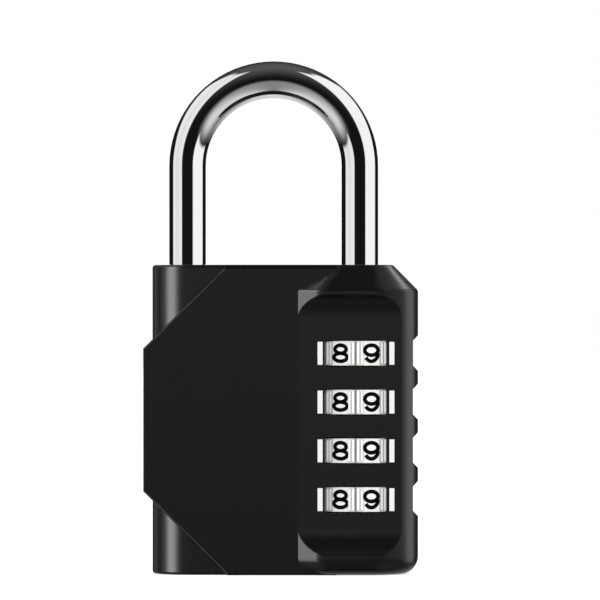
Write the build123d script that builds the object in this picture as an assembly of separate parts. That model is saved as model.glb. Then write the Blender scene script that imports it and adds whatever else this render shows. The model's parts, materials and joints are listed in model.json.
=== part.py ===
from build123d import *
import os

# Combination padlock: a cast body with a shield cover wrapped round its left side, four number
# dials round the long leg of the shackle, and the coded sleeves that lock it.
# Millimetres. X runs to the right across the face, Y from the face to the back, Z up.
# Origin: middle of the base. The body is the same, mirrored, front and back, but for the windows.

# ---- Body ----
BODY_HEIGHT = 48.9
SHIELD_LEFT = -21.7        # left edge of the shield cover
SHIELD_CUT = 13.2          # legs of the shield's 45 degree corners
SHIELD_SKIN = 1.2          # thickness of the shield's front and rear plates
PLATE_Y = 8.2              # half thickness over the shield plates
COLUMN_LEFT = -20.4        # left edge of the casting inside the shield
COLUMN_ROUND = 6.5         # radius of the casting's two left corners
TOP_BEVEL = 0.65           # bevel along the shield's top edges
EDGE_ROUND = 0.4           # rounding of the shield's other edges
COLUMN_EDGE = 0.5          # rounding of the casting's top and bottom rims

# ---- Dial barrel: the thicker right-hand part of the body ----
BARREL_LEFT = 2.5
BARREL_RIGHT = 21.7
BARREL_Y = 10.0            # half thickness of the barrel
BARREL_FLAT = (6.4, 14.0)  # its face lies between a flank on the left and a round on the right
BARREL_LEFT_Y = 8.1        # half thickness where its sloping left flanks end
BARREL_SIDE_Y = 2.3        # half width of its flat right side
BARREL_BASE_ROUND = 2.8
SHOULDER_Z = 44.9          # the barrel tapers to its neck above this
SHOULDER_ROUND = 0.8
NECK_LEFT = 8.7
NECK_RIGHT = 17.7
NECK_FLAT = (9.7, 14.0)
NECK_Y = 7.7
NECK_LEFT_Y = 7.4
NECK_SIDE_Y = 4.0
NECK_TOP_ROUND = 0.5
FLANK_ROUND = 4.0          # between the faces and the left flanks of barrel and neck

# ---- Thumb recess across the dial windows ----
RECESS_FLOOR_Z = (7.4, 40.5)   # where the hollow end walls run out into the floor
RECESS_RIM_Z = (3.2, 44.2)     # where they meet the barrel's face
RECESS_RIM_ROUND = 0.3

# ---- Shackle ----
TOE_X = -14.85
HEEL_X = 12.5
ROD_RADIUS = 2.9
ARCH_Z = 64.65             # centre of the bend
LIFT = 8.2                 # travel of the shackle
TOE_END_Z = 42.6
TOE_RELIEF = 0.2           # the toe is this much thinner where it sits in the body
TOE_STEP_Z = BODY_HEIGHT + 0.07
LEG_CLEARANCE = 0.07
SOCKET_DEPTH = 6.6
SPINDLE_TOP_Z = 39.0       # the heel leg is turned down below this
SPINDLE_RADIUS = 1.9
SPINDLE_END_Z = 4.3
FIN_HEIGHT = 2.0
FIN_WIDTH = 2.4
FIN_GAP = 0.8              # play between a fin and the flange above it

# ---- Dials and code sleeves, all on the heel leg's axis ----
DIAL_COUNT = 4
DIAL_PITCH = 7.68
TOP_DIAL_Z = 34.96
DIAL_HEIGHT = 3.85
SLOT_HEIGHT = 4.25
DIGITS = 10
FACET_RADIUS = 7.9         # distance of each flat number facet from the axis
RIDGE_RADIUS = 8.3
FACET_WIDTH = 2.9
RIDGE_GAP = 0.35           # groove between the two grip ridges beside each number
RIDGE_GAP_RADIUS = 7.8
RIDGE_LINE = 0.14          # fine line cut along the middle of each ridge
RIDGE_LINE_RADIUS = 8.18
RIDGE_LINE_TURN = 4.9      # degrees from the middle of the pair
DIAL_TURN = -5.2           # degrees, so that two numbers sit side by side in the window
DIAL_EDGE = 0.25
POCKET_RADIUS = 8.45
SLEEVE_RADIUS = 4.75
SLEEVE_CLEARANCE = 0.06
KEY_RADIUS = 5.4
KEY_WIDTH = 1.2
KEY_HEIGHT = 2.1
KEYWAY_CLEARANCE = 0.1
SLEEVE_GAP = 0.04          # between stacked sleeves
FLANGE_HEIGHT = 2.0
FLANGE_BORE = 2.0
FLANGE_SLOT_WIDTH = 2.7
FLANGE_SLOT_REACH = 3.05
CHAMBER_RADIUS = 3.6
SLEEVE_BORE = 5.5          # radius of the body's bore for the sleeves

# ---- Windows and index marks ----
WINDOW_X = (6.9, 16.6)
MARK_X = ((5.77, 6.56), (17.07, 17.86))
MARK_HEIGHT = 3.6
MARK_DEPTH = 0.3
SIDE_SLOT_Y = 4.6          # half width of the dial slots in the right side
NOTCH_DEPTH = 0.86
NOTCH_HEIGHT = 3.95

# ---- Rear dial cover ----
COVER_Y = 4.6              # joint between the cover and the casting
COVER_BASE_Z = 2.9
RIVET_RADIUS = 0.8
RIVET_HEAD_RADIUS = 1.5
RIVET_HEAD_HEIGHT = 0.8
RIVET_LENGTH = 6.5
RIVET_CLEARANCE = 0.03
COVER_RIVETS = ((5.5, 42.3, 8.0), (17.3, 42.3, 8.0), (5.5, 5.4, 8.0), (19.0, 5.4, 5.6))  # x, z, seat y
SHIELD_RIVETS = ((-6.0, 24.5), (-2.0, 44.6), (-2.0, 2.8))                                # x, z
SHIELD_RIVET_LENGTH = 5.0

# ---- Inside the body ----
CORE_OUT_X = (-13.0, 0.8)  # weight-saving pockets, closed by the shield's rear plate
CORE_OUT_Z = ((5.5, 22.8), (26.2, 40.3))
CORE_OUT_FRONT_Y = -5.4
PLUG_RADIUS = 6.2
PLUG_HEIGHT = 2.0
PLUG_RECESS = 0.3
WASHER_THICKNESS = 0.5
THRUST_WASHER_THICKNESS = 0.75
WASHER_GAP = 0.05
SPRING_WIRE = 0.4          # radius
SPRING_RADIUS = 4.5
SPRING_TURNS = 3
CLIP_THICKNESS = 0.6
CLIP_RADIUS = 3.4
CLIP_GROOVE_RADIUS = 1.3
CLIP_OPENING = 2.2
LEAF_X = (3.0, 3.35)       # detent spring strip
LEAF_TIP_X = 4.12
LEAF_HALF_WIDTH = 2.0
LEAF_SLOT_X = (2.9, 4.2)
LEAF_SLOT_Y = 2.2
LEAF_Z = (8.4, 38.9)

# ---- Worked out ----
DIAL_Z = [TOP_DIAL_Z - i * DIAL_PITCH for i in range(DIAL_COUNT)]
SLEEVE_RISE = DIAL_PITCH / 2                      # top of a sleeve above its dial's middle
FLANGE_BOTTOM = SLEEVE_RISE - FLANGE_HEIGHT       # underside of its flange, the same way
STACK_TOP_Z = DIAL_Z[0] + SLEEVE_RISE
STACK_BOTTOM_Z = DIAL_Z[-1] - SLEEVE_RISE
SLEEVE_BORE_TOP_Z = STACK_TOP_Z + WASHER_THICKNESS + 2 * WASHER_GAP
CLIP_TOP_Z = DIAL_Z[-1] + FLANGE_BOTTOM - LIFT - 0.02
PLUG_TOP_Z = PLUG_RECESS + PLUG_HEIGHT
THRUST_WASHER_TOP_Z = STACK_BOTTOM_Z - WASHER_GAP
CORE_Y = PLATE_Y - SHIELD_SKIN
BEYOND = 30.0                                     # longer than any cut needs to be
NEAR = 0.02                                       # tolerance for picking edges by place


def box(x, y, z):
    """Box between two limits on each axis."""
    size = [limits[1] - limits[0] for limits in (x, y, z)]
    return Pos(x[0], y[0], z[0]) * Box(*size, align=(Align.MIN, Align.MIN, Align.MIN))


def post(radius, bottom, top, x=HEEL_X):
    """Upright cylinder, on the heel leg's axis unless told otherwise."""
    return Pos(x, 0, bottom) * Cylinder(radius, top - bottom, align=(Align.CENTER, Align.CENTER, Align.MIN))


def rod_y(radius, x, z, front, back):
    """Cylinder along Y."""
    return Pos(x, front, z) * Rot(-90, 0, 0) * Cylinder(
        radius, back - front, align=(Align.CENTER, Align.CENTER, Align.MIN))


def d_section(left, left_y, flat, y, right, right_y):
    """D-shaped outline: flat faces with sloping flanks on the left, rounded off to the right side."""
    front = [
        FilletPolyline((left, -left_y), (flat[0], -y), (flat[1], -y), radius=FLANK_ROUND),
        TangentArc((flat[1], -y), (right, -right_y), tangent=(1, 0)),
    ]
    back = [mirror(edge, Plane.XZ) for edge in front]
    sides = [Line((left, -left_y), (left, left_y)), Line((right, -right_y), (right, right_y))]
    return make_face(front + back + sides)


# ---- Outer shapes that the body pieces are cut from ----

def recess_cut():
    """Everything in front of the plate plane, between the two hollow end walls."""
    low = TangentArc((-PLATE_Y, RECESS_FLOOR_Z[0]), (-BARREL_Y, RECESS_RIM_Z[0]), tangent=(0, -1))
    high = TangentArc((-PLATE_Y, RECESS_FLOOR_Z[1]), (-BARREL_Y, RECESS_RIM_Z[1]), tangent=(0, 1))
    front = -BARREL_Y - 1
    out = [Polyline(high @ 1, (front, RECESS_RIM_Z[1]), (front, RECESS_RIM_Z[0]), low @ 1)]
    floor = [Line(low @ 0, high @ 0)]
    return Pos(BARREL_LEFT - 1, 0, 0) * extrude(Plane.YZ * make_face([low, high] + out + floor), BEYOND)


def edges_at(shape, z, beyond_x):
    """Edges whose middle is at one height and to the right of a limit."""
    return shape.edges().filter_by(
        lambda edge: abs(edge.center().Z - z) < NEAR and edge.center().X > beyond_x + NEAR)


def barrel_block():
    """Upright D-shaped block with a rounded base, a tapered neck and the thumb recess."""
    section = d_section(BARREL_LEFT, BARREL_LEFT_Y, BARREL_FLAT, BARREL_Y, BARREL_RIGHT, BARREL_SIDE_Y)
    neck = d_section(NECK_LEFT, NECK_LEFT_Y, NECK_FLAT, NECK_Y, NECK_RIGHT, NECK_SIDE_Y)
    block = extrude(section, SHOULDER_Z)
    block = fillet(edges_at(block, 0, BARREL_LEFT), BARREL_BASE_ROUND)
    block += loft([Pos(0, 0, SHOULDER_Z) * section, Pos(0, 0, BODY_HEIGHT) * neck], ruled=True)
    block = fillet(edges_at(block, SHOULDER_Z, BARREL_LEFT), SHOULDER_ROUND)
    block = fillet(edges_at(block, BODY_HEIGHT, NECK_LEFT), NECK_TOP_ROUND)

    block -= recess_cut()
    rim = [edge for edge in block.edges()
           if edge.center().Y < -PLATE_Y - NEAR and edge.length > 1
           and RECESS_RIM_Z[0] - NEAR < edge.center().Z < RECESS_RIM_Z[1] + NEAR]
    return fillet(rim, RECESS_RIM_ROUND)


def column_block():
    """The casting's left part, with its two left corners rounded."""
    block = box((COLUMN_LEFT, NECK_LEFT), (-CORE_Y, CORE_Y), (0, BODY_HEIGHT))
    corners = block.edges().filter_by(Axis.Z).group_by(Axis.X)[0]
    block = fillet(corners, COLUMN_ROUND)
    rims = [edge for z in (0, BODY_HEIGHT) for edge in edges_at(block, z, COLUMN_LEFT - 1)
            if edge.center().X < NECK_LEFT - NEAR]
    return fillet(rims, COLUMN_EDGE)


def shield_block():
    """Plate with 45 degree left corners, as thick as the whole shield."""
    low, high = SHIELD_CUT, BODY_HEIGHT - SHIELD_CUT
    start = SHIELD_LEFT + SHIELD_CUT
    outline = Polyline((NECK_LEFT, 0), (start, 0), (SHIELD_LEFT, low), (SHIELD_LEFT, high),
                       (start, BODY_HEIGHT), (NECK_LEFT, BODY_HEIGHT), close=True)
    block = extrude(Plane.XZ * make_face(outline), PLATE_Y, both=True)
    block = chamfer(edges_at(block, BODY_HEIGHT, SHIELD_LEFT).filter_by(Axis.X), TOP_BEVEL)
    plates = block.faces().filter_by(Axis.Y)
    rest = [edge for plate in plates for edge in plate.edges()
            if edge.center().X < NECK_LEFT - NEAR and edge.center().Z < BODY_HEIGHT - TOP_BEVEL - NEAR]
    return fillet(rest, EDGE_ROUND)


def notch_cut(z):
    """Shallow thumb notch with 45 degree ends in the right side."""
    inner = NOTCH_HEIGHT / 2
    outer = inner + NOTCH_DEPTH + 1
    floor = BARREL_RIGHT - NOTCH_DEPTH
    outline = Polyline((floor, z - inner), (floor, z + inner), (BARREL_RIGHT + 1, z + outer),
                       (BARREL_RIGHT + 1, z - outer), close=True)
    return extrude(Plane.XZ * make_face(outline), BEYOND / 2, both=True)


def dial_slot(z):
    """Room for one dial: round, open at the window, at the right side and towards the back."""
    heights = (z - SLOT_HEIGHT / 2, z + SLOT_HEIGHT / 2)
    round_part = post(POCKET_RADIUS, *heights)
    window = box(WINDOW_X, (-BEYOND, 0), heights)
    side = box((HEEL_X, BEYOND), (-SIDE_SLOT_Y, SIDE_SLOT_Y), heights)
    entry = box((HEEL_X - POCKET_RADIUS, HEEL_X + POCKET_RADIUS), (0, COVER_Y), heights)
    return round_part + window + side + entry


def dial_cavities():
    """Bore for the sleeves with the four dial slots and the side notches."""
    cut = post(SLEEVE_BORE, PLUG_TOP_Z - 0.01, SLEEVE_BORE_TOP_Z)
    for z in DIAL_Z:
        cut += dial_slot(z)
        cut += notch_cut(z)
    return cut


def mark_boxes():
    """The white index bars beside each window."""
    bars = [box(x, (-PLATE_Y, -PLATE_Y + MARK_DEPTH), (z - MARK_HEIGHT / 2, z + MARK_HEIGHT / 2))
            for z in DIAL_Z for x in MARK_X]
    return bars


# ---- Rivets ----

def cover_rivet(x, z, seat, grow=0.0):
    """Rivet with a round head, or its hole when grown."""
    head = rod_y(RIVET_HEAD_RADIUS + grow, x, z, seat - RIVET_HEAD_HEIGHT, seat)
    shank = rod_y(RIVET_RADIUS + grow, x, z, seat - RIVET_HEAD_HEIGHT - RIVET_LENGTH, seat)
    return head + shank


def shield_rivet(x, z, grow=0.0):
    """Countersunk rivet, flush with the shield's rear plate, or its hole when grown."""
    head = Pos(x, PLATE_Y - RIVET_HEAD_HEIGHT, z) * Rot(-90, 0, 0) * Cone(
        RIVET_RADIUS + grow, RIVET_HEAD_RADIUS + grow, RIVET_HEAD_HEIGHT,
        align=(Align.CENTER, Align.CENTER, Align.MIN))
    shank = rod_y(RIVET_RADIUS + grow, x, z, PLATE_Y - SHIELD_RIVET_LENGTH - grow, PLATE_Y - 0.01)
    return head + shank


def rivet_cuts():
    """Holes for both kinds of rivet, open to the back."""
    cuts = []
    for x, z, seat in COVER_RIVETS:
        cuts.append(cover_rivet(x, z, seat, RIVET_CLEARANCE))
        cuts.append(rod_y(RIVET_HEAD_RADIUS + RIVET_CLEARANCE, x, z, seat, BEYOND))
        cuts.append(rod_y(RIVET_RADIUS, x, z, seat - RIVET_HEAD_HEIGHT - RIVET_LENGTH - 0.3, seat))
    for x, z in SHIELD_RIVETS:
        cuts.append(shield_rivet(x, z, RIVET_CLEARANCE))
    return cuts


# ---- Body pieces ----

def body_pieces():
    """The casting, the shield cover and the rear dial cover, cut from the outer shapes."""
    barrel = barrel_block()
    column = column_block()
    shield = shield_block() - column - barrel
    cover_zone = box((BARREL_LEFT, BEYOND), (COVER_Y, BEYOND), (COVER_BASE_Z, SHOULDER_Z))
    cover = barrel & cover_zone
    housing = barrel + column - cover_zone

    shared = dial_cavities()
    housing -= shared
    cover -= shared
    housing -= [post(ROD_RADIUS + LEG_CLEARANCE, SLEEVE_BORE_TOP_Z - 1, BODY_HEIGHT + 1),
                post(PLUG_RADIUS, -1, PLUG_TOP_Z),
                post(ROD_RADIUS + LEG_CLEARANCE, BODY_HEIGHT - SOCKET_DEPTH, BODY_HEIGHT + 1, TOE_X)]
    housing -= [box(CORE_OUT_X, (CORE_OUT_FRONT_Y, BEYOND), z) for z in CORE_OUT_Z]
    housing -= box(LEAF_SLOT_X, (-LEAF_SLOT_Y, COVER_Y), (LEAF_Z[0] - 0.1, LEAF_Z[1] + 0.1))
    housing -= mark_boxes()

    holes = rivet_cuts()
    return housing - holes, shield - holes, cover - holes


def base_plug():
    """Disc pressed into the base under the sleeve spring."""
    plug = post(PLUG_RADIUS, PLUG_RECESS, PLUG_TOP_Z)
    return chamfer(plug.edges().filter_by(GeomType.CIRCLE).group_by(Axis.Z)[0], 0.3)


# ---- Shackle ----

def fin(z):
    """Locking fin: what is left of the rod's full radius on its rear side."""
    heights = (z + FLANGE_BOTTOM - FIN_GAP - FIN_HEIGHT, z + FLANGE_BOTTOM - FIN_GAP)
    blank = post(ROD_RADIUS, *heights)
    return blank & box((HEEL_X - FIN_WIDTH / 2, HEEL_X + FIN_WIDTH / 2), (0, BEYOND), heights)


def shackle():
    """Bent rod with a short toe and a long heel leg that carries one fin under each sleeve flange."""
    bend = (HEEL_X - TOE_X) / 2
    toe_side = Line((TOE_X, TOE_STEP_Z), (TOE_X, ARCH_Z))
    arch = ThreePointArc((TOE_X, ARCH_Z), (TOE_X + bend, ARCH_Z + bend), (HEEL_X, ARCH_Z))
    heel_side = Line((HEEL_X, ARCH_Z), (HEEL_X, SPINDLE_TOP_Z))
    path = Plane.XZ * Wire([toe_side, arch, heel_side])
    rod = sweep(Pos(TOE_X, 0, TOE_STEP_Z) * Circle(ROD_RADIUS), path=path)

    toe = post(ROD_RADIUS - TOE_RELIEF, TOE_END_Z, TOE_STEP_Z, TOE_X)
    toe = chamfer(toe.edges().filter_by(GeomType.CIRCLE).group_by(Axis.Z)[0], 0.6)
    spindle = post(SPINDLE_RADIUS, SPINDLE_END_Z, SPINDLE_TOP_Z)
    spindle = chamfer(spindle.edges().filter_by(GeomType.CIRCLE).group_by(Axis.Z)[0], 0.3)
    groove_z = (CLIP_TOP_Z - CLIP_THICKNESS - 0.03, CLIP_TOP_Z + 0.03)
    spindle -= post(ROD_RADIUS, *groove_z) - post(CLIP_GROOVE_RADIUS, *groove_z)
    body = rod + toe + spindle
    for z in DIAL_Z:
        body += fin(z)
    return body


def heel_clip():
    """Open retaining clip in the groove near the heel leg's end."""
    bottom = CLIP_TOP_Z - CLIP_THICKNESS
    ring = post(CLIP_RADIUS, bottom, CLIP_TOP_Z) - post(CLIP_GROOVE_RADIUS + 0.02, bottom, CLIP_TOP_Z)
    opening = box((HEEL_X - CLIP_OPENING / 2, HEEL_X + CLIP_OPENING / 2), (-BEYOND, 0), (bottom, CLIP_TOP_Z))
    return ring - opening


# ---- Dials and sleeves ----

def dial(z):
    """Number ring with ten flat facets, pairs of grip ridges between them, and ten keyways inside."""
    bottom, top = z - DIAL_HEIGHT / 2, z + DIAL_HEIGHT / 2
    ring = post(RIDGE_RADIUS, bottom, top)
    ring = chamfer(ring.edges().filter_by(GeomType.CIRCLE), DIAL_EDGE)
    ring -= post(SLEEVE_RADIUS + SLEEVE_CLEARANCE, bottom, top)
    half_key = KEY_WIDTH / 2 + KEYWAY_CLEARANCE / 2
    gap = Box(RIDGE_GAP, 2, SLOT_HEIGHT, align=(Align.CENTER, Align.MAX, Align.CENTER))
    line = Box(RIDGE_LINE, 1, SLOT_HEIGHT, align=(Align.CENTER, Align.MAX, Align.CENTER))
    facet = Box(FACET_WIDTH, 2, SLOT_HEIGHT, align=(Align.CENTER, Align.MAX, Align.CENTER))
    keyway = Box(2 * half_key, KEY_RADIUS + KEYWAY_CLEARANCE, SLOT_HEIGHT,
                 align=(Align.CENTER, Align.MAX, Align.CENTER))
    step = 360 / DIGITS
    for i in range(DIGITS):
        turned = Pos(HEEL_X, 0, z) * Rot(0, 0, DIAL_TURN + i * step)
        ring -= turned * Pos(0, -RIDGE_GAP_RADIUS, 0) * gap
        for side in (-1, 1):
            ring -= turned * Rot(0, 0, side * RIDGE_LINE_TURN) * Pos(0, -RIDGE_LINE_RADIUS, 0) * line
        ring -= turned * keyway
        ring -= turned * Rot(0, 0, step / 2) * Pos(0, -FACET_RADIUS, 0) * facet
    return ring


def code_sleeve(z):
    """Sleeve with a slotted flange at its top, an open chamber under it, and two outside keys."""
    top = z + SLEEVE_RISE - SLEEVE_GAP / 2
    bottom = z - SLEEVE_RISE + SLEEVE_GAP / 2
    flange = z + FLANGE_BOTTOM
    sleeve = post(SLEEVE_RADIUS, bottom, top) - post(CHAMBER_RADIUS, bottom, flange)
    sleeve -= post(FLANGE_BORE, flange, top)
    slot_x = (HEEL_X - FLANGE_SLOT_WIDTH / 2, HEEL_X + FLANGE_SLOT_WIDTH / 2)
    sleeve -= box(slot_x, (0, FLANGE_SLOT_REACH), (flange, top))
    key_bottom = z - DIAL_HEIGHT / 2
    key = post(KEY_RADIUS, key_bottom, key_bottom + KEY_HEIGHT)
    key -= post(SLEEVE_RADIUS - 0.2, key_bottom, key_bottom + KEY_HEIGHT)
    across = Pos(HEEL_X, 0, z) * Rot(0, 0, DIAL_TURN) * Box(KEY_WIDTH, BEYOND, BEYOND)
    return sleeve + (key & across)


def washer(inner, outer, bottom, top):
    return post(outer, bottom, top) - post(inner, bottom, top)


def sleeve_spring():
    """Coil spring that holds the sleeves up in the dials."""
    low = PLUG_TOP_Z + SPRING_WIRE + WASHER_GAP
    high = THRUST_WASHER_TOP_Z - THRUST_WASHER_THICKNESS - SPRING_WIRE - WASHER_GAP
    path = Helix(pitch=(high - low) / SPRING_TURNS, height=high - low, radius=SPRING_RADIUS)
    path = Pos(HEEL_X, 0, low) * path
    section = Plane(origin=path @ 0, z_dir=path % 0) * Circle(SPRING_WIRE)
    return sweep(section, path=path)


def detent_spring():
    """Strip with one bump beside each dial."""
    front = [(LEAF_X[1], LEAF_Z[0])]
    for z in reversed(DIAL_Z):
        front += [(LEAF_X[1], z - 1.6), (LEAF_TIP_X, z - 0.3), (LEAF_TIP_X, z + 0.3), (LEAF_X[1], z + 1.6)]
    front.append((LEAF_X[1], LEAF_Z[1]))
    thickness = LEAF_X[1] - LEAF_X[0]
    back = [(x - thickness, z) for x, z in reversed(front)]
    outline = make_face(Polyline(*front, *back, close=True))
    return extrude(Plane.XZ * outline, LEAF_HALF_WIDTH, both=True)


def save(name, shape):
    """Write one sub-part."""
    shape.label = name
    export_step(shape, f"parts/{name}.step")


os.makedirs("parts", exist_ok=True)
housing, shield, cover = body_pieces()
save("core_housing", housing)
save("shield_cover", shield)
save("dial_cover", cover)
save("cover_rivets", Compound(children=[cover_rivet(*rivet) for rivet in COVER_RIVETS]))
save("shield_rivets", Compound(children=[shield_rivet(*rivet) for rivet in SHIELD_RIVETS]))
save("index_marks", Compound(children=mark_boxes()))
save("base_plug", base_plug())
save("shackle", shackle())
save("heel_clip", heel_clip())
for number, z in enumerate(DIAL_Z, start=1):
    save(f"dial_{number}", dial(z))
    save(f"code_sleeve_{number}", code_sleeve(z))
save("upper_washer", washer(ROD_RADIUS + 0.2, KEY_RADIUS, STACK_TOP_Z + WASHER_GAP,
                            STACK_TOP_Z + WASHER_GAP + WASHER_THICKNESS))
save("thrust_washer", washer(CHAMBER_RADIUS + 0.1, KEY_RADIUS,
                             THRUST_WASHER_TOP_Z - THRUST_WASHER_THICKNESS, THRUST_WASHER_TOP_Z))
save("sleeve_spring", sleeve_spring())
save("detent_spring", detent_spring())
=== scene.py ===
"""Looks of the combination padlock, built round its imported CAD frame."""
import json
import math

import bpy
from mathutils import Matrix, Vector


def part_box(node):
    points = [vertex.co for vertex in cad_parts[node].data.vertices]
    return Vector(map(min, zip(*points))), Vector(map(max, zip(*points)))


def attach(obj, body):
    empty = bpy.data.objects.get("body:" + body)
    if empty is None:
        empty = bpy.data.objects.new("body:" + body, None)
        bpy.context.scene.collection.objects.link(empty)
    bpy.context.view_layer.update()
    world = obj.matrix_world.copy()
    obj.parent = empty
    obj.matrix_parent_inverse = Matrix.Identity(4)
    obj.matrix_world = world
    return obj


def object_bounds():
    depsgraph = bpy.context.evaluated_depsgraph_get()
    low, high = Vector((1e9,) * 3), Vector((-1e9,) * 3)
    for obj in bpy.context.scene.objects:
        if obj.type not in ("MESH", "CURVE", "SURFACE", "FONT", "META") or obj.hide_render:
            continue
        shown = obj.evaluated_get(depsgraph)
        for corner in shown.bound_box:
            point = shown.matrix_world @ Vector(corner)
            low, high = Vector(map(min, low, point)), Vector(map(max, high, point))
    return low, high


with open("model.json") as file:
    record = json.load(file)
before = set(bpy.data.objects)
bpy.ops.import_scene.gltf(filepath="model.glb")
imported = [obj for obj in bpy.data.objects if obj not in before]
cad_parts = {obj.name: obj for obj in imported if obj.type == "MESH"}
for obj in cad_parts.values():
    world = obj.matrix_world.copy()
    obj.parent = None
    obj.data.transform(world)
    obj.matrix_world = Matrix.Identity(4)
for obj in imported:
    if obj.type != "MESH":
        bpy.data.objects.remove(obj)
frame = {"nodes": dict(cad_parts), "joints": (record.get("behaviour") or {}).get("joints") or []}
cad_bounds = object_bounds()

MM = 0.001
DIALS = tuple(f"dial_{number}" for number in range(1, 5))
SLEEVES = tuple(f"code_sleeve_{number}" for number in range(1, 5))


# ---------------------------------------------------------------- node helpers

class Nodes:
    """Short calls for building one node tree."""

    def __init__(self, tree):
        self.tree = tree

    def add(self, kind, **settings):
        node = self.tree.nodes.new(kind)
        for name, value in settings.items():
            setattr(node, name, value)
        return node

    def link(self, source, target):
        self.tree.links.new(source, target)

    def feed(self, socket, value):
        """Link a socket, or set it to a plain value."""
        if isinstance(value, bpy.types.NodeSocket):
            self.link(value, socket)
        else:
            socket.default_value = value

    def math(self, operation, a, b=0.0):
        node = self.add("ShaderNodeMath", operation=operation)
        self.feed(node.inputs[0], a)
        self.feed(node.inputs[1], b)
        return node.outputs[0]

    def plus(self, a, b):
        return self.math("ADD", a, b)

    def minus(self, a, b):
        return self.math("SUBTRACT", a, b)

    def product(self, *values):
        result = values[0]
        for value in values[1:]:
            result = self.math("MULTIPLY", result, value)
        return result

    def ramp(self, value, low, high, out_low=0.0, out_high=1.0):
        """Smooth step of a value between two limits."""
        node = self.add("ShaderNodeMapRange", interpolation_type="SMOOTHSTEP")
        for socket, number in zip(node.inputs, (value, low, high, out_low, out_high)):
            self.feed(socket, number)
        return node.outputs[0]

    def noise(self, scale, detail=2.0, roughness=0.5, stretch=(1, 1, 1)):
        """Cloudy pattern from 0 to 1 that moves with the piece."""
        place = self.add("ShaderNodeTexCoord")
        mapping = self.add("ShaderNodeMapping")
        mapping.inputs["Scale"].default_value = stretch
        texture = self.add("ShaderNodeTexNoise")
        texture.inputs["Scale"].default_value = scale
        texture.inputs["Detail"].default_value = detail
        texture.inputs["Roughness"].default_value = roughness
        self.link(place.outputs["Object"], mapping.inputs["Vector"])
        self.link(mapping.outputs["Vector"], texture.inputs["Vector"])
        return texture.outputs["Fac"]

    def vector(self, x, y, z):
        """Vector from three values."""
        node = self.add("ShaderNodeCombineXYZ")
        for socket, value in zip(node.inputs, (x, y, z)):
            self.feed(socket, value)
        return node.outputs[0]

    def vector_math(self, operation, a, b=None):
        """Vector result, or the number for LENGTH and DOT_PRODUCT."""
        node = self.add("ShaderNodeVectorMath", operation=operation)
        self.link(a, node.inputs[0])
        if b is not None:
            self.link(b, node.inputs[1])
        return node.outputs["Value" if operation in ("LENGTH", "DOT_PRODUCT") else "Vector"]

    def scaled(self, vector, factor):
        return self.vector_math("MULTIPLY", vector, self.vector(factor, factor, factor))

    def mix(self, factor, first, second, kind="FLOAT"):
        node = self.add("ShaderNodeMix", data_type=kind)
        self.feed(node.inputs["Factor"], factor)
        self.feed(node.inputs["A"], first)
        self.feed(node.inputs["B"], second)
        return node.outputs["Result"]

    def mix_colour(self, factor, first, second):
        return self.mix(factor, first, second, "RGBA")

    def bump(self, height, strength, distance, under=None):
        """Normal of a height pattern, laid over another normal if one is given."""
        node = self.add("ShaderNodeBump")
        node.inputs["Strength"].default_value = strength
        node.inputs["Distance"].default_value = distance
        self.link(height, node.inputs["Height"])
        if under is not None:
            self.link(under, node.inputs["Normal"])
        return node.outputs["Normal"]


def grey(level):
    return (level, level, level, 1.0)


def new_material(name, **uniform):
    """Material with a Principled shader; uniform values go on the shader's own sockets."""
    material = bpy.data.materials.new(name)
    material.use_nodes = True
    shader = material.node_tree.nodes["Principled BSDF"]
    for socket, value in uniform.items():
        shader.inputs[socket.replace("_", " ")].default_value = value
    return material, Nodes(material.node_tree), shader


# ---------------------------------------------------------------- materials

EDGE_WEAR_AND_HIGHLIGHT_WIDTH = 0.15 * MM            # how far the lighter edge, partly rubbing and partly painted highlight, reaches from a sharp edge
ON_ROD = (0.96, 0.98)               # of the rod's radius: below it a point is on a step or a fin
GROOVE_REACH = 0.5 * MM             # how far painted shade spreads out of a dial's grooves


def edge_mask(nodes, radius):
    """1 on the crest of sharp edges, 0 on flats and gentle curves."""
    bevel = nodes.add("ShaderNodeBevel", samples=4)
    bevel.inputs["Radius"].default_value = radius
    geometry = nodes.add("ShaderNodeNewGeometry")
    likeness = nodes.vector_math("DOT_PRODUCT", bevel.outputs["Normal"], geometry.outputs["Normal"])
    return nodes.ramp(likeness, 0.98, 0.85)


def coated_black(name, base=0.003, rough=0.3, grain=0.04):
    """Satin black coating on a casting: faint orange peel, fine grain, and sharp edges lighter in patches,
    partly rubbed and partly a painted highlight.
    """
    material, nodes, shader = new_material(name, IOR=1.5, Specular_IOR_Level=0.25)
    cloud = nodes.noise(scale=140, detail=4)
    coat = nodes.mix_colour(cloud, grey(base * 0.8), grey(base * 1.2))
    edge_patches = nodes.ramp(nodes.noise(scale=900, detail=3), 0.45, 0.7)
    rubbed_and_highlit_edges = nodes.product(edge_mask(nodes, EDGE_WEAR_AND_HIGHLIGHT_WIDTH), edge_patches, 0.3)
    # sharp edges turn a lighter grey in random patches: partly rubbed wear, partly a painted highlight
    # along the rims
    nodes.link(nodes.mix_colour(rubbed_and_highlit_edges, coat, grey(0.015)), shader.inputs["Base Color"])
    speck = nodes.noise(scale=2600, detail=3, roughness=0.6)
    uneven = nodes.product(nodes.minus(speck, 0.5), 0.06)
    nodes.link(nodes.plus(rough, uneven), shader.inputs["Roughness"])
    peel = nodes.bump(nodes.noise(scale=900, detail=1), strength=0.03, distance=0.02 * MM)
    nodes.link(nodes.bump(speck, grain, 0.01 * MM, under=peel), shader.inputs["Normal"])
    return material


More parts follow.
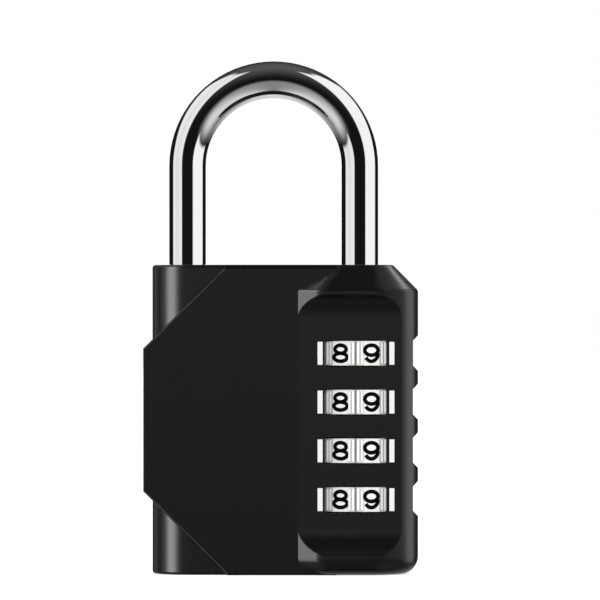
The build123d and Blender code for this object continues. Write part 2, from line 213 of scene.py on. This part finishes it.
def rod_normal(nodes):
    """Exact normal of the bent rod, so that its mirror doesn't show the mesh's facets.

    The rod's middle line is two uprights joined by a half circle. Steps and fins, which are thinner
    than the rod, keep their mesh normal.
    """
    low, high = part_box("shackle")
    radius = high.y
    bend = (high.x - low.x) / 2 - radius
    middle_x, middle_z = (high.x + low.x) / 2, high.z - bend - radius

    place = nodes.add("ShaderNodeTexCoord")
    split = nodes.add("ShaderNodeSeparateXYZ")
    nodes.link(place.outputs["Object"], split.inputs[0])
    x, y, z = split.outputs
    out_x = nodes.minus(x, middle_x)
    out_z = nodes.math("MAXIMUM", nodes.minus(z, middle_z), 0.0)
    out = nodes.vector_math("NORMALIZE", nodes.vector(out_x, 0.0, out_z))
    centre = nodes.vector(middle_x, 0.0, nodes.math("MINIMUM", z, middle_z))
    line = nodes.vector_math("ADD", centre, nodes.scaled(out, bend))
    away = nodes.vector_math("SUBTRACT", place.outputs["Object"], line)

    on_rod = nodes.ramp(nodes.vector_math("LENGTH", away), ON_ROD[0] * radius, ON_ROD[1] * radius)
    geometry = nodes.add("ShaderNodeNewGeometry")
    exact = nodes.vector_math("NORMALIZE", away)
    return nodes.mix(on_rod, geometry.outputs["Normal"], exact, "VECTOR")


def chrome():
    """Mirror chrome with a trace of haze and fine polishing marks."""
    material, nodes, shader = new_material("chrome", Metallic=1.0)
    tint = nodes.mix_colour(nodes.noise(scale=60), (0.90, 0.905, 0.915, 1), (0.95, 0.952, 0.957, 1))
    nodes.link(tint, shader.inputs["Base Color"])
    haze = nodes.ramp(nodes.noise(scale=500, detail=4), 0.45, 0.8, 0.0, 0.05)
    nodes.link(nodes.plus(haze, 0.025), shader.inputs["Roughness"])
    lines = nodes.noise(scale=900, detail=3, stretch=(1, 1, 0.03))
    polish = nodes.bump(lines, strength=0.02, distance=0.004 * MM, under=rod_normal(nodes))
    nodes.link(polish, shader.inputs["Normal"])
    return material


def metal(name, colour, rough, streaks=(1, 1, 1)):
    """Bare metal with tool marks, which can be drawn out along one direction."""
    material, nodes, shader = new_material(name, Metallic=1.0)
    marks = nodes.noise(scale=900, detail=4, stretch=streaks)
    dark = tuple(0.82 * part for part in colour)
    nodes.link(nodes.mix_colour(marks, dark + (1,), colour + (1,)), shader.inputs["Base Color"])
    uneven = nodes.product(nodes.minus(marks, 0.5), 0.18)
    nodes.link(nodes.plus(rough, uneven), shader.inputs["Roughness"])
    nodes.link(nodes.bump(marks, strength=0.12, distance=0.02 * MM), shader.inputs["Normal"])
    return material


def dial_coating():
    """White coating on the number rings, with painted shade darkening the grooves."""
    material, nodes, shader = new_material("dial_coating", IOR=1.5)
    crevice = nodes.add("ShaderNodeAmbientOcclusion", samples=8, only_local=True)
    crevice.inputs["Distance"].default_value = GROOVE_REACH
    outside_painted_shade = nodes.ramp(crevice.outputs["AO"], 0.45, 0.95)
    white = nodes.mix_colour(nodes.noise(scale=500, detail=4), grey(0.82), grey(0.88))
    # painted shade: the white turns dark grey where ambient occlusion finds grooves and crevices
    nodes.link(nodes.mix_colour(outside_painted_shade, grey(0.22), white), shader.inputs["Base Color"])
    uneven = nodes.product(nodes.noise(scale=1500, detail=3), 0.15)
    nodes.link(nodes.plus(0.28, uneven), shader.inputs["Roughness"])
    grain = nodes.bump(nodes.noise(scale=2500), strength=0.08, distance=0.01 * MM)
    nodes.link(grain, shader.inputs["Normal"])
    return material


def paint(name, level, rough, shine=0.5):
    """Filled-in paint with a slightly uneven surface."""
    material, nodes, shader = new_material(name, IOR=1.45, Specular_IOR_Level=shine)
    cloud = nodes.noise(scale=1800, detail=3)
    nodes.link(nodes.mix_colour(cloud, grey(level * 0.92), grey(level)), shader.inputs["Base Color"])
    nodes.link(nodes.plus(rough, nodes.product(cloud, 0.15)), shader.inputs["Roughness"])
    nodes.link(nodes.bump(cloud, strength=0.15, distance=0.02 * MM), shader.inputs["Normal"])
    return material


def give(node, material):
    """A CAD node's mesh stays; its material slots get the new material."""
    slots = frame["nodes"][node].data.materials
    if not slots:
        slots.append(material)
    for i in range(len(slots)):
        slots[i] = material


def dress_cad_nodes():
    """Material for every CAD piece."""
    body = coated_black("coated_black")
    rivet = coated_black("rivet_black", base=0.03, rough=0.42)
    zinc = metal("bare_zinc", (0.55, 0.56, 0.58), rough=0.38)
    steel = metal("spring_steel", (0.50, 0.50, 0.52), rough=0.30)
    brass = metal("turned_brass", (0.55, 0.40, 0.18), rough=0.35, streaks=(1, 1, 12))
    groups = (
        (body, ("core_housing", "shield_cover", "dial_cover")),
        (rivet, ("cover_rivets", "shield_rivets")),
        (zinc, ("base_plug", "upper_washer", "thrust_washer")),
        (steel, ("heel_clip", "sleeve_spring", "detent_spring")),
        (chrome(), ("shackle",)),
        (paint("mark_paint", 0.8, rough=0.35), ("index_marks",)),
        (dial_coating(), DIALS),
        (brass, SLEEVES),
    )
    for material, names in groups:
        for node in names:
            give(node, material)
    frame["nodes"]["shackle"].visible_glossy = False    # keeps each leg out of the other leg's mirror


# ---------------------------------------------------------------- numbers on the dials

DIGIT_COUNT = 10
FIRST_DIGIT = 8                     # the left one of the two numbers in each window
DIGIT_PITCH = 360 / DIGIT_COUNT     # degrees
PAIR_TURN = -5.2                    # the middle of the two numbers, in degrees from the face
FIRST_DIGIT_TURN = PAIR_TURN - DIGIT_PITCH / 2
FACET_RADIUS = 7.9 * MM             # from the dials' axis to their flats
STROKE = 0.62 * MM
LETTER_WIDTH = 2.95 * MM            # of the widest digit, stroke included
LETTER_HEIGHT = 3.15 * MM
PAINT_RAISE = 0.012 * MM            # the paint stands this far off the facet
PAINT_DEPTH = 0.04 * MM             # and reaches this far into it
ARC_STEP = 9                        # degrees between the points of a round stroke
MITRE_LIMIT = 2.2                   # of half the stroke, how far out a sharp corner may reach


def arc(x, y, half_width, half_height, start, end):
    """Points along an ellipse, in degrees anticlockwise from the right."""
    count = max(6, int(abs(end - start) / ARC_STEP))
    turns = [math.radians(start + (end - start) * i / count) for i in range(count + 1)]
    return [(x + half_width * math.cos(t), y + half_height * math.sin(t)) for t in turns]


def digit_strokes():
    """Middle line of each stroke of the ten digits, in a box from -0.5 to 0.5 each way."""
    six = [arc(0, -0.19, 0.46, 0.31, 0, 360), arc(0, 0, 0.46, 0.5, 180, 32)]
    nine = [[(-x, -y) for x, y in stroke] for stroke in six]
    return [
        [arc(0, 0, 0.43, 0.5, 0, 360)],
        [[(-0.26, 0.26), (0.04, 0.5), (0.04, -0.5)]],
        [arc(0, 0.22, 0.44, 0.28, 165, -35) + [(-0.42, -0.5), (0.46, -0.5)]],
        [arc(0, 0.25, 0.4, 0.25, 155, -90), arc(0, -0.25, 0.46, 0.25, 90, -155)],
        [[(0.2, -0.5), (0.2, 0.5), (-0.46, -0.2), (0.46, -0.2)]],
        [[(0.38, 0.5), (-0.3, 0.5), (-0.38, 0.0)] + arc(0, -0.17, 0.46, 0.33, 135, -150)],
        six,
        [[(-0.46, 0.5), (0.44, 0.5), (-0.14, -0.5)]],
        [arc(0, 0.25, 0.41, 0.25, 0, 360), arc(0, -0.25, 0.48, 0.25, 0, 360)],
        nine,
    ]


def ribbon(points, half_width):
    """Left and right edge points of a stroke with mitred corners, and whether it closes on itself."""
    line = [Vector(point) for point in points]
    closed = (line[0] - line[-1]).length < half_width / 10
    if closed:
        line.pop()
    count = len(line)
    sides = []
    for i, point in enumerate(line):
        before = line[i - 1] if closed or i > 0 else None
        after = line[(i + 1) % count] if closed or i < count - 1 else None
        into = (point - before).normalized() if before else (after - point).normalized()
        out = (after - point).normalized() if after else into
        along = (into + out).normalized()
        across = Vector((-along.y, along.x))
        reach = half_width / max(along.dot(into), 1 / MITRE_LIMIT)
        sides.append((point + across * reach, point - across * reach))
    return sides, closed


def add_stroke(vertices, faces, points, place):
    """One painted stroke as a thin closed strip on a facet."""
    sides, closed = ribbon(points, STROKE / 2)
    start = len(vertices)
    for left, right in sides:
        outer = [(left, -PAINT_RAISE), (right, -PAINT_RAISE)]
        inner = [(right, PAINT_DEPTH), (left, PAINT_DEPTH)]
        for point, y in outer + inner:
            vertices.append(place @ Vector((point.x, y, point.y)))
    count = len(sides)
    for i in range(count if closed else count - 1):
        a, b = start + 4 * i, start + 4 * ((i + 1) % count)
        faces += [(a + k, a + (k + 1) % 4, b + (k + 1) % 4, b + k) for k in range(4)]
    if not closed:
        last = start + 4 * (count - 1)
        faces += [(start + 3, start + 2, start + 1, start), (last, last + 1, last + 2, last + 3)]


def number_ring(dial, strokes, ink):
    """The ten painted numbers of one dial as one piece."""
    joint = next(joint for joint in frame["joints"] if joint["child"] == dial)
    axis = Matrix.Translation(Vector(joint["pos_m"]))
    wide, high = LETTER_WIDTH - STROKE, LETTER_HEIGHT - STROKE
    vertices, faces = [], []
    for place in range(DIGIT_COUNT):
        turn = math.radians(FIRST_DIGIT_TURN + DIGIT_PITCH * place)
        facet = axis @ Matrix.Rotation(turn, 4, "Z") @ Matrix.Translation((0, -FACET_RADIUS, 0))
        for stroke in strokes[(FIRST_DIGIT + place) % DIGIT_COUNT]:
            points = [(x * wide, y * high) for x, y in stroke]
            add_stroke(vertices, faces, points, facet)
    mesh = bpy.data.meshes.new(dial + "_numbers")
    mesh.from_pydata(vertices, [], faces)
    mesh.materials.append(ink)
    ring = bpy.data.objects.new(dial + "_numbers", mesh)
    bpy.context.scene.collection.objects.link(ring)
    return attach(ring, dial)


def add_numbers():
    ink = paint("number_paint", 0.002, rough=0.5, shine=0.1)
    strokes = digit_strokes()
    return [number_ring(dial, strokes, ink) for dial in DIALS]


# ---------------------------------------------------------------- studio

# The world is laid out in degrees: azimuth 0 is in front of the lock and 180 behind it, the same to both
# sides, and elevation 0 is the horizon. A pair gives where a change starts and where it ends.
BOX_FRONT = (32, 38)                # front edge of the soft boxes
BOX_REAR = (102, 146)               # rear edge, low down and high up
BOX_REAR_CHANGE = (10, 45)          # elevations between which the rear edge moves
RIGHT_BOX_EXTRA = 9                 # the right box reaches this much further back
BOX_BOTTOM = (-16, -11)
BOX_TOP = (67, 25)                  # top edge, at the side and behind
BOX_TOP_CHANGE = (105, 165)         # azimuths between which the top edge comes down
BOX_FADE = (-3, 3)                  # softness of the rear and top edges
LEFT_LEVEL, RIGHT_LEVEL = 0.86, 0.97
SIDE_BLEND = (-0.02, 0.02)          # of the direction's x, between the left and the right side
SHADE = 0.08                        # a shaded upright band in the left box
SHADE_IN, SHADE_OUT = (50, 66), (72, 86)

FLOOR_LEVEL, FLOOR_WAVE = 0.46, 0.24
FLOOR_PEAK, FLOOR_SPACING = 55, 120     # one of the brightest azimuths, and how far it is to the next
FLOOR_EDGE, FLOOR_EDGE_DROP = 1, 12     # below the horizon, and how much lower at the sides
FLOOR_FADE = 18                     # it reaches its level this far below its edge
UNDER_LOCK, UNDER_LEVEL = (-84, -68), 0.05      # it goes dark under the lock, down to this share
CEILING, CEILING_LEVEL = (5, 90), (0.007, 0.095)
SEEN_LEVEL = 1.0                    # plain white, for the camera alone


def soft_boxes(nodes, azimuth, elevation, x):
    """Brightness of the two tall soft boxes at the sides."""
    on_right = nodes.ramp(x, *SIDE_BLEND)
    front = nodes.ramp(azimuth, *BOX_FRONT)
    rear_limit = nodes.plus(nodes.ramp(elevation, *BOX_REAR_CHANGE, *BOX_REAR),
                            nodes.product(on_right, RIGHT_BOX_EXTRA))
    rear = nodes.ramp(nodes.minus(azimuth, rear_limit), *BOX_FADE, 1, 0)
    bottom = nodes.ramp(elevation, *BOX_BOTTOM)
    top_limit = nodes.ramp(azimuth, *BOX_TOP_CHANGE, *BOX_TOP)
    top = nodes.ramp(nodes.minus(elevation, top_limit), *BOX_FADE, 1, 0)
    shaded = nodes.product(nodes.ramp(azimuth, *SHADE_IN), nodes.ramp(azimuth, *SHADE_OUT, 1, 0), SHADE)
    level = nodes.mix(on_right, nodes.minus(LEFT_LEVEL, shaded), RIGHT_LEVEL)
    return nodes.product(front, rear, bottom, top, level)


def studio_floor(nodes, azimuth, elevation):
    """Brightness of the floor: it starts lower at the sides and is dark right under the lock."""
    turn = nodes.math("RADIANS", nodes.product(nodes.minus(azimuth, FLOOR_PEAK), 360 / FLOOR_SPACING))
    level = nodes.plus(nodes.product(nodes.math("COSINE", turn), FLOOR_WAVE), FLOOR_LEVEL)
    drop = nodes.product(nodes.math("SINE", nodes.math("RADIANS", azimuth)), FLOOR_EDGE_DROP)
    below_edge = nodes.minus(nodes.product(elevation, -1), nodes.plus(drop, FLOOR_EDGE))
    under = nodes.ramp(elevation, *UNDER_LOCK, UNDER_LEVEL, 1)
    return nodes.product(nodes.ramp(below_edge, 0, FLOOR_FADE), level, under)


def studio_world():
    """A dark studio with two tall soft boxes and a pale floor. The camera itself sees plain white."""
    world = bpy.data.worlds.new("studio")
    bpy.context.scene.world = world
    world.use_nodes = True
    nodes = Nodes(world.node_tree)
    place = nodes.add("ShaderNodeTexCoord")
    split = nodes.add("ShaderNodeSeparateXYZ")
    nodes.link(place.outputs["Generated"], split.inputs[0])
    x, y, z = split.outputs
    turn = nodes.math("ARCTAN2", nodes.math("ABSOLUTE", x), nodes.product(y, -1))
    azimuth = nodes.math("DEGREES", turn)
    elevation = nodes.math("DEGREES", nodes.math("ARCSINE", z))

    boxes = soft_boxes(nodes, azimuth, elevation, x)
    floor = studio_floor(nodes, azimuth, elevation)
    ceiling = nodes.ramp(elevation, *CEILING, *CEILING_LEVEL)
    light = nodes.math("MAXIMUM", boxes, nodes.math("MAXIMUM", floor, ceiling))

    path = nodes.add("ShaderNodeLightPath")
    background = world.node_tree.nodes["Background"]
    background.inputs["Color"].default_value = grey(1.0)
    strength = nodes.mix(path.outputs["Is Camera Ray"], light, SEEN_LEVEL)
    nodes.link(strength, background.inputs["Strength"])


# ---------------------------------------------------------------- lights

CASTING = ("core_housing", "dial_cover", "cover_rivets", "shield_rivets", "base_plug")
SHIELD = ("shield_cover",)
LIT_BY_PANELS = {"casting": CASTING, "shield": SHIELD, "body": CASTING + SHIELD}

PANEL_DISTANCE = 0.7
PANELS = (
    # name, azimuth, elevation, width, height, radiance, pieces it lights
    ("hip_strip", 0, 75, 0.8, 0.05, 1.0, "body"),
    ("lower_strip", 0, -15, 0.8, 0.2, 0.3, "body"),
    ("left_strip", -64, 6, 0.35, 0.8, 15.5, "casting"),
    ("left_rear_strip", -130, 6, 0.2, 0.8, 0.6, "body"),
    ("left_corner", -120, 60, 0.2, 0.2, 6.0, "casting"),
    ("right_strip", 111, 6, 0.4, 0.8, 2.0, "body"),
    ("right_corner", 128, 42, 0.2, 0.2, 7.5, "body"),
    ("rear_panel", 180, 10, 0.5, 0.8, 0.5, "body"),
    ("shield_upper_corner", -50, 40, 0.2, 0.2, 8.0, "shield"),
    ("shield_lower_corner", -50, -40, 0.2, 0.2, 8.0, "shield"),
)


def light_only(name, objects):
    """Collection that a light's effect is limited to."""
    group = bpy.data.collections.new(name)
    for item in objects:
        group.objects.link(item)
    return group


def add_light(name, lamp, azimuth, elevation, distance, receivers, glossy=True):
    """Hang a light at an azimuth (0 in front, 90 to the right) and elevation round the lock, facing it."""
    low, high = cad_bounds
    centre = (low + high) / 2
    a, e = math.radians(azimuth), math.radians(elevation)
    away = Vector((math.sin(a) * math.cos(e), -math.cos(a) * math.cos(e), math.sin(e)))
    holder = bpy.data.objects.new(name, lamp)
    holder.location = centre + away * distance
    holder.rotation_euler = (-away).to_track_quat("-Z", "Y").to_euler()
    holder.visible_camera = False
    holder.visible_glossy = glossy
    holder.light_linking.receiver_collection = receivers
    bpy.context.scene.collection.objects.link(holder)
    return holder


def panel(name, azimuth, elevation, width, height, level, receivers, distance=PANEL_DISTANCE):
    """Soft panel of a given radiance."""
    lamp = bpy.data.lights.new(name, "AREA")
    lamp.shape = "RECTANGLE"
    lamp.size, lamp.size_y = width, height
    lamp.energy = level * math.pi * width * height
    return add_light(name, lamp, azimuth, elevation, distance, receivers)


def sun(name, azimuth, elevation, strength, spread, receivers, shadow=True):
    """Even light from one side that shows in no reflection."""
    lamp = bpy.data.lights.new(name, "SUN")
    lamp.energy = strength
    lamp.angle = math.radians(spread)
    lamp.use_shadow = shadow
    return add_light(name, lamp, azimuth, elevation, 1.0, receivers, glossy=False)


def studio_lights(numbers, floor):
    """Lights on the black body, an even front light on the dials, and lights for the floor alone."""
    nodes = frame["nodes"]
    lit = {key: light_only("lit_" + key, [nodes[name] for name in names])
           for key, names in LIT_BY_PANELS.items()}
    panel("front_panel", 0, 5, 0.5, 0.2, 0.8, lit["body"], distance=0.5)
    for *place, key in PANELS:
        panel(*place, lit[key])

    bright = [nodes[name] for name in DIALS + ("index_marks",)] + numbers
    sun("front_light", 0, 10, strength=2.7, spread=25, receivers=light_only("lit_dials", bright))
    floor_alone = light_only("lit_floor", [floor])
    sun("floor_fill", 0, 90, strength=2.9, spread=60, receivers=floor_alone, shadow=False)
    sun("floor_light", 0, 90, strength=0.6, spread=60, receivers=floor_alone)


# ---------------------------------------------------------------- floor and camera

STAGE_HALF = 3.0
STAGE_GAP = 0.05 * MM               # keeps the floor clear of the lock's base
CAMERA_DISTANCE = 1.0
VIEW_WIDTH = 95.24 * MM             # what the picture shows at the lock's depth
VIEW_CENTRE = Vector((3.0, 0.0, 43.35)) * MM


def pale_floor():
    """Plain pale floor. Reflections show the studio's own floor instead."""
    mesh = bpy.data.meshes.new("floor")
    corners = [(x * STAGE_HALF, y * STAGE_HALF, 0) for x, y in ((-1, -1), (1, -1), (1, 1), (-1, 1))]
    mesh.from_pydata(corners, [], [(0, 1, 2, 3)])
    material, _, shader = new_material("floor", Roughness=0.9, Specular_IOR_Level=0.0)
    shader.inputs["Base Color"].default_value = grey(0.92)
    mesh.materials.append(material)
    floor = bpy.data.objects.new("floor", mesh)
    bpy.context.scene.collection.objects.link(floor)
    floor.location.z = -STAGE_GAP
    floor.visible_glossy = False
    floor.visible_diffuse = False
    return floor


def camera():
    """Long lens, square on to the face, a little above the lock's middle and to its right."""
    data = bpy.data.cameras.new("camera")
    data.sensor_width = 36.0
    data.lens = data.sensor_width * CAMERA_DISTANCE / VIEW_WIDTH
    data.clip_start = 0.01
    data.clip_end = 20.0
    holder = bpy.data.objects.new("camera", data)
    holder.location = VIEW_CENTRE + Vector((0, -CAMERA_DISTANCE, 0))
    holder.rotation_euler = (math.radians(90), 0, 0)
    bpy.context.scene.collection.objects.link(holder)
    bpy.context.scene.camera = holder


# ---------------------------------------------------------------- the scene

dress_cad_nodes()
numbers = add_numbers()
studio_world()
studio_lights(numbers, pale_floor())
camera()

scene = bpy.context.scene
scene.view_settings.view_transform = "Standard"
scene.view_settings.look = "None"
